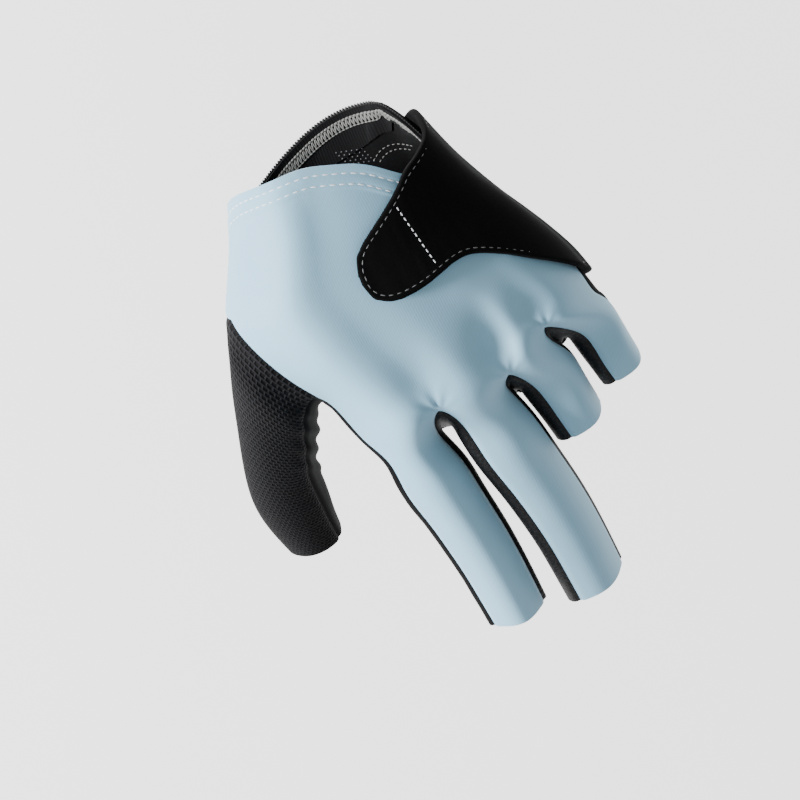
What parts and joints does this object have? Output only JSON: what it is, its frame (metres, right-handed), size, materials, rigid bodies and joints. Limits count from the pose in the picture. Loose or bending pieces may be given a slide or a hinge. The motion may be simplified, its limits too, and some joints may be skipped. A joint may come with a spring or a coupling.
{
  "type": "billiard glove",
  "caption": "Left-hand billiard glove in its worn shape: open fingertips, a short ring and little finger, and a wrist strap.",
  "frame": {"origin": "middle of the wrist opening", "axes": "+Y out of the wrist opening along the forearm, so the fingers point along -Y; +Z towards the back of the hand; -X towards the thumb"},
  "size_m": [0.1227, 0.1615, 0.0682],
  "materials": {
    "blue_jersey": "fine-ribbed stretch jersey, matt with a soft sheen",
    "black_microfibre": "matt suede-like microfibre",
    "black_air_mesh": "coarse open mesh",
    "black_elastic": "ribbed elastic band",
    "black_neoprene": "matt laminated foam",
    "black_hook_tape": "hook tape"
  },
  "bodies": {
    "root": {"back_panel": "blue_jersey", "palm_panel": "black_microfibre", "cuff_band": "black_elastic", "thumb_back": "black_air_mesh", "thumb_front": "black_microfibre", "gusset_index_middle": "black_microfibre", "gusset_middle_ring": "black_microfibre", "gusset_ring_little": "black_microfibre", "closing_strap": "black_neoprene", "hook_patch": "black_hook_tape", "palm_pad": "black_microfibre"}
  },
  "joints": []
}
